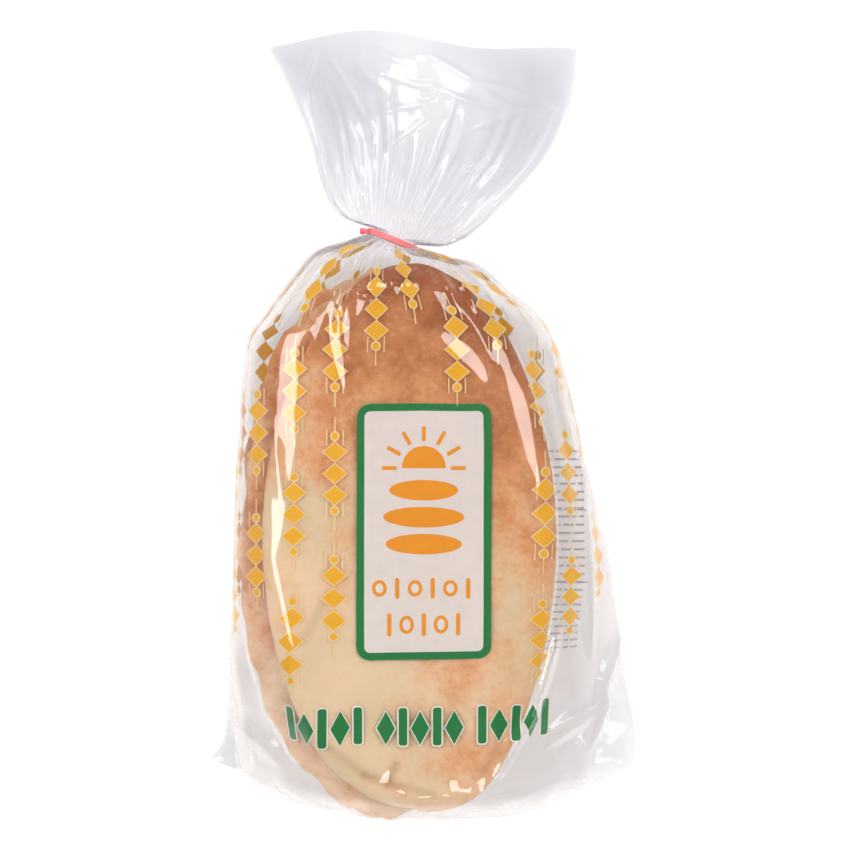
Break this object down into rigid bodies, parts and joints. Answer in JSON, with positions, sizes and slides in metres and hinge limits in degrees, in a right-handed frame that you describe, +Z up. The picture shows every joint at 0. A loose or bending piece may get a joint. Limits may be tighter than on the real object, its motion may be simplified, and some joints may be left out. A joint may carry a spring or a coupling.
{
  "type": "bag of pitta breads",
  "caption": "Clear bag holding a stack of oval pitta breads, its neck closed with a twist tie and its mouth spread out above it.",
  "frame": {"origin": "centre of the bounding box's bottom face, on the surface that the pack lies on", "axes": "+Y along the pack from its bottom seam towards its open mouth, +Z up out of the printed front, +X to the right of the front"},
  "size_m": [0.1776, 0.327, 0.0644],
  "materials": {
    "film": "clear glossy film",
    "ribbon": "satin",
    "bread": "matt baked crust",
    "print": "gloss ink under film"
  },
  "bodies": {
    "root": {"bag": "film", "twist_tie": "ribbon"}
  },
  "joints": []
}
